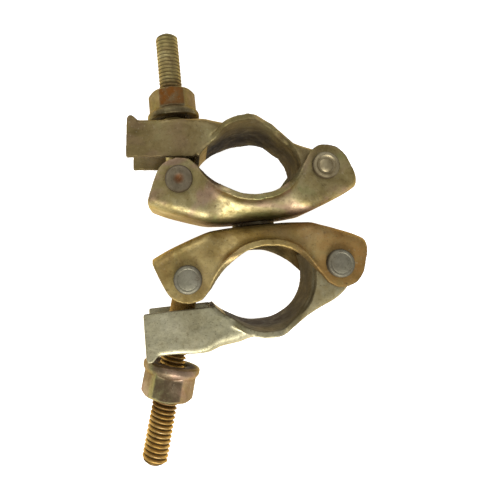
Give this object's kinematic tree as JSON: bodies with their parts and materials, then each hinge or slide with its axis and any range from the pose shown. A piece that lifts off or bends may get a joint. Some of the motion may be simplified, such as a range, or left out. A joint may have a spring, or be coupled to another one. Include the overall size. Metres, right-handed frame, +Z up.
{
  "type": "scaffold coupler clamp",
  "caption": "Swivel coupler of pressed steel that clamps two scaffold tubes at any angle, each half a saddle with a hinged cap, swing bolt and flange nut.",
  "frame": {"origin": "centre of the bounding box at its lowest face, where the back rims of the saddles and caps rest on the floor", "axes": "+Z up, along both tube axes at rest; +Y along the swivel axis towards the upper half; +X towards the cap hinges; the swing bolts are on the -X side"},
  "size_m": [0.1186, 0.2196, 0.056],
  "materials": {
    "pressed_steel": "yellow chromate over zinc, worn",
    "rivet_steel": "dull grey zinc",
    "bolt_steel": "golden chromate",
    "nut_steel": "pinkish yellow chromate"
  },
  "bodies": {
    "lower_base": {"lower_saddle": "pressed_steel", "lower_hinge_rivet": "rivet_steel", "lower_bolt_rivet": "rivet_steel", "lower_head_washer": "rivet_steel", "swivel_rivet": "rivet_steel", "swivel_washer": "rivet_steel"},
    "upper_base": {"upper_saddle": "pressed_steel", "upper_hinge_rivet": "rivet_steel", "upper_bolt_rivet": "rivet_steel", "upper_head_washer": "rivet_steel"},
    "lower_closer": {"lower_cap": "pressed_steel"},
    "upper_closer": {"upper_cap": "pressed_steel"},
    "lower_swing_bolt": {"lower_eye_bolt": "bolt_steel"},
    "upper_swing_bolt": {"upper_eye_bolt": "bolt_steel"},
    "lower_nut": {"lower_flange_nut": "nut_steel"},
    "upper_nut": {"upper_flange_nut": "nut_steel"}
  },
  "joints": [
    {"name": "swivel", "type": "hinge", "parent": "lower_base", "child": "upper_base", "pos_m": [0.00651, -0.00128, 0.028], "axis": [0, 1, 0], "continuous": true},
    {"name": "upper_nut_travel", "type": "slide", "parent": "upper_swing_bolt", "child": "upper_nut", "axis": [0, 1, 0], "range_m": [0, 0.024]},
    {"name": "upper_bolt_swing", "type": "hinge", "parent": "upper_base", "child": "upper_swing_bolt", "pos_m": [-0.03009, 0.02277, 0.028], "axis": [0, 0, -1], "range_deg": [0, 11]},
    {"name": "upper_cap_hinge", "type": "hinge", "parent": "upper_base", "child": "upper_closer", "pos_m": [0.04311, 0.02277, 0.028], "axis": [0, 0, -1], "range_deg": [0, 17]},
    {"name": "lower_nut_travel", "type": "slide", "parent": "lower_swing_bolt", "child": "lower_nut", "axis": [-0.2756, -0.9613, 0], "range_m": [0, 0.024]},
    {"name": "lower_bolt_swing", "type": "hinge", "parent": "lower_base", "child": "lower_swing_bolt", "pos_m": [-0.03009, -0.02533, 0.028], "axis": [0, 0, -1], "range_deg": [-16, 76]},
    {"name": "lower_cap_hinge", "type": "hinge", "parent": "lower_base", "child": "lower_closer", "pos_m": [0.04311, -0.02533, 0.028], "axis": [0, 0, 1], "range_deg": [0, 17]}
  ],
  "couplings": [
    {"joint": "upper_cap_hinge", "follows": "upper_nut_travel", "rad_per_m": 12.217},
    {"joint": "upper_bolt_swing", "follows": "upper_nut_travel", "rad_per_m": 7.854},
    {"joint": "lower_cap_hinge", "follows": "lower_nut_travel", "rad_per_m": 12.217}
  ]
}
